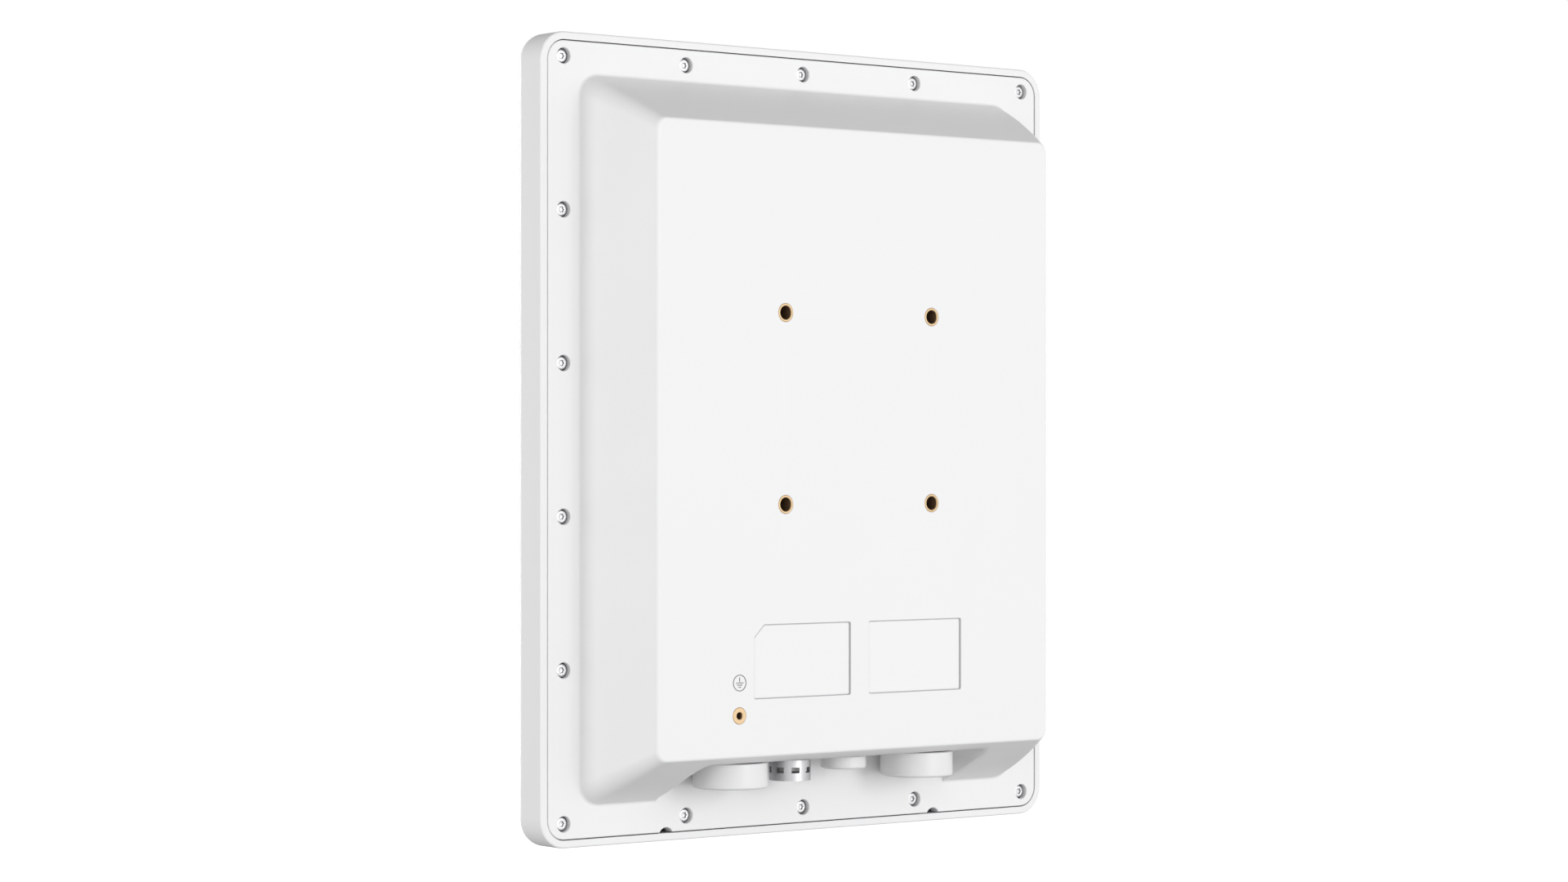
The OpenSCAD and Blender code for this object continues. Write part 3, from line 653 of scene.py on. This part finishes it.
def rear_housing():
    bm, profile = shell_form(0, LOW_Y)
    shell = new_object("housing_shell", bm)
    inside, _ = shell_form(-WALL, LOW_Y - 0.002, bend=(0.001, 0.001), flange=False, drop=-WALL)
    hollow = new_object("hollow", inside)
    half, top = BAY_HALF + WALL, CEIL_Z + WALL
    right = [(half, CZ - 0.21)] + arc(half - BAY_R, top - BAY_R, BAY_R, 0, 90, 6)
    bay_wall = prism(right + [(-x, z) for x, z in reversed(right)], FLANGE_Y - WALL, FACE_Y + 0.02)
    boolean(hollow, new_object("bay_wall", sealed(bay_wall)))
    boolean(shell, hollow)
    boolean(shell, new_object("bay", bay_cutter(profile)))
    boolean(shell, new_object("pockets", flange_cuts()))
    boolean(shell, new_object("face_cuts", face_cuts()))
    boolean(shell, new_object("port_holes", ceiling_cuts()))
    settle(shell, "panel", "housing", angle=28)
    repaint(shell, MARK_INK, in_mark)
    # The label recess walls and bevel get the grey finish: painted shade along each recess outline.
    for name in LABEL_CHAMFERS:
        lo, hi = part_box(name)
        repaint(shell, RECESS_SHADE_PAINT, lambda f: in_recess(f, lo, hi))
    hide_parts("rear_housing")


def label_outline(lo, hi, chamfer, grow):
    """Outline of a label area with three round corners and, for one label, a cut fourth corner."""
    x0, x1, z0, z1 = lo.x - grow, hi.x + grow, lo.z - grow, hi.z + grow
    r = 0.001
    points = arc(x0 + r, z0 + r, r, 180, 270, 5) + arc(x1 - r, z0 + r, r, 270, 360, 5)
    if chamfer:
        points += [(x1, z1 - chamfer), (x1 - chamfer, z1)]
    else:
        points += arc(x1 - r, z1 - r, r, 0, 90, 5)
    return points + arc(x0 + r, z1 - r, r, 90, 180, 5)


def label_recess(bm, lo, hi, chamfer):
    """Recess for a label film, with a small bevel round its mouth."""
    gap, bevel = 0.0003, 0.0004
    rows = [(gap, lo.y), (gap, FACE_Y - bevel), (gap + bevel, FACE_Y), (gap + bevel, FACE_Y + 0.003)]
    rings = []
    for grow, y in rows:
        rings.append([bm.verts.new((x, y, z)) for x, z in label_outline(lo, hi, chamfer, grow)])
    joined(bm, rings)


def earth_mark(bm, x, z):
    """Engraved ring with the earth sign in it: a stem and three bars that get shorter."""
    low, high = -0.0004, 0.003
    r_out, r_in, line = 0.0044, 0.0038, 0.0006
    band = [(r_in, low), (r_out, low), (r_out, high), (r_in, high), (r_in, low)]
    lathe(band, (x, FACE_Y, z), "Y", 64, bm)
    stem = (line, 0.0024, 0.00165)
    bars = [(0.0048 - 0.0016 * i, line, -0.0011 * i) for i in range(3)]
    for w, h, rise in [stem] + bars:
        x0, x1 = x - w / 2, x + w / 2
        z0, z1 = z + rise - h / 2, z + rise + h / 2
        prism([(x0, z0), (x1, z0), (x1, z1), (x0, z1)], FACE_Y + low, FACE_Y + high, bm)


rear_housing()


# ---- cover screws, with dark rings round their heads as painted shade in the pocket gaps ----
def lobed(r, a):
    """Turns the screws' drive recess into six lobes, and leaves the rest of the head round."""
    return r * (1 + 0.09 * math.cos(6 * a)) if 0.0008 < r < 0.0017 else r


def cover_screws():
    heads = bmesh.new()
    gap_shades = bmesh.new()
    low = screws_hi.y - HEAD_H
    crown = 0.0009
    head = [(0, -0.0125), (0.0014, -0.0125), (0.002, -0.0118), (0.002, 0), (0.0034, 0), (HEAD_R, 0.0001)]
    head += arc(HEAD_R - crown, 0.0015, crown, 0, 80, 6)
    head += [(0.0017, 0.00245), (0.00155, HEAD_H), (0.00135, 0.0011), (0, 0.0009)]
    # Dark rubber-finish ring round each head, filling the gap to the pocket wall: painted shade for that gap.
    gap_shade = [(0.0036, 0.0001), (0.00405, 0.0001), (0.00405, 0.0012), (0.0038, 0.00135), (0.0036, 0.0012),
            (0.0036, 0.0001)]
    for x, z in screw_places():
        lathe(head, (x, low, z), "Y", 48, heads, lobed)
        lathe(gap_shade, (x, low, z), "Y", 40, gap_shades)
    ob = new_object("screw_heads", sealed(heads))
    settle(ob, "panel", "screw_steel", angle=35)
    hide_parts("cover_screws")
    # The dark rings are painted shade: they stand in for the dark gap round each head.
    ob = new_object("screw_gap_shades", sealed(gap_shades))
    settle(ob, "panel", "gasket", angle=35)


cover_screws()


# ---- threaded inserts ----
def darken(ob, centres, bore):
    """Gives the faces down in the bores the dark thread finish: painted shade for the dark inside of the
    holes.
    """
    repaint(ob, THREAD_SHADE_PAINT, lambda f: (f.center.y < FACE_Y - 0.0005
                                        and any(near(f, x, z, bore + 0.0004) for x, z in centres)))


def insert_profile(r_out, bore, depth):
    """Blind sleeve with a chamfered mouth and thread ridges down its bore."""
    profile = [(0, -depth), (r_out, -depth), (r_out, -0.0003), (r_out - 0.0003, 0.0)]
    profile += [(bore + 0.0004, 0.0), (bore + 0.0001, -0.0004)]
    y = -0.0004
    pitch = 0.0008
    while y - pitch > -depth + 0.0012:
        profile += [(bore - 0.00015, y - pitch * 0.5), (bore + 0.00012, y - pitch)]
        y -= pitch
    return profile + [(bore, -depth + 0.001), (0, -depth + 0.0006)]


def sleeves(name, places, r_out, bore, depth):
    """Threaded sleeves at the given places in the back face."""
    bm = bmesh.new()
    for x, z in places:
        lathe(insert_profile(r_out, bore, depth), (x, FACE_Y, z), "Y", 56, bm)
    ob = new_object(name, sealed(bm))
    settle(ob, "panel", "insert_brass", angle=30)
    darken(ob, places, bore)
    return ob


inserts = sleeves("insert_sleeves", insert_places(), INSERT_R, INSERT_BORE, INSERT_DEPTH)
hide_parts("mount_inserts")
ground_places = [(MARK_X, (ground_lo.z + ground_hi.z) / 2)]
ground = sleeves("ground_sleeve", ground_places, GROUND_R, GROUND_BORE, GROUND_DEPTH)
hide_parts("ground_insert")


# ---- port caps ----
def cap(name):
    """Round cap with rounded edges and a coin slot in its end."""
    lo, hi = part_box(name + "_cap")
    c = (lo + hi) / 2
    r = (hi.x - lo.x) / 2
    h = hi.z - lo.z
    inner = r - 0.0025
    edge, lip = 0.0014, 0.0005
    profile = [(0, 0.0)] + arc(r - edge, edge, edge, -90, 0, 8)
    profile += [(r, h - lip), (r - lip, h), (inner + lip, h), (inner, h - lip)]
    profile += [(inner, 0.0026), (inner - 0.0006, 0.002), (0, 0.002)]
    ob = new_object(name + "_cap_shell", sealed(lathe(profile, (c.x, c.y, lo.z), "Z", 128)))
    slot = bmesh.new()
    half_long, half_wide = r * 0.6, 0.001
    end = half_long - half_wide
    points = arc(end, 0, half_wide, -90, 90, 6) + arc(-end, 0, half_wide, 90, 270, 6)
    rings = []
    for z in (-0.001, 0.0012):
        rings.append([slot.verts.new((c.x + x, c.y + y, lo.z + z)) for x, y in points])
    joined(slot, rings)
    boolean(ob, new_object("coin_slot", sealed(slot)))
    settle(ob, name + "_cap_body", "cap_plastic", angle=30)
    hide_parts(name + "_cap")


for port in ("network", "signal", "service"):
    cap(port)
